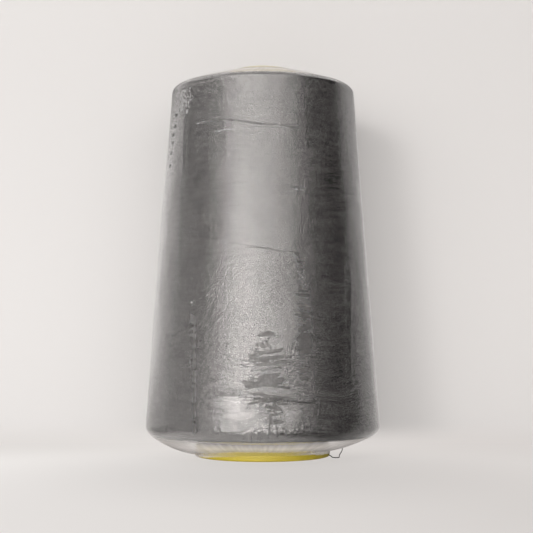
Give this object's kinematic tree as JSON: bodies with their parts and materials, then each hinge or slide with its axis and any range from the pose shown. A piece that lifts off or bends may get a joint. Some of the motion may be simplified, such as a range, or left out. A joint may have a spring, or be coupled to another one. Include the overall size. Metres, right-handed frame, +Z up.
{
  "type": "spool of thread",
  "caption": "Conical spool of sewing thread: dark cross-wound thread on a yellow plastic cone with a base ring and spindle hole, in a clear shrink film.",
  "frame": {"origin": "centre of the base ring's lower face, on the surface that the cone stands on", "axes": "+Z up the cone's axis to the nose, -Y to the front, +X to the right, and the tail slot is 12 degrees in front of +X"},
  "size_m": [0.0756, 0.0756, 0.1252],
  "materials": {
    "cone_plastic": "smooth moulded polypropylene with a soft gloss",
    "thread": "fine spun polyester thread, cross-wound, charcoal grey",
    "film": "clear glossy shrink film, slightly wrinkled"
  },
  "bodies": {
    "root": {"cone_core": "cone_plastic", "thread_package": "thread", "tail_turns": "thread", "thread_tail": "thread", "shrink_film": "film"}
  },
  "joints": []
}
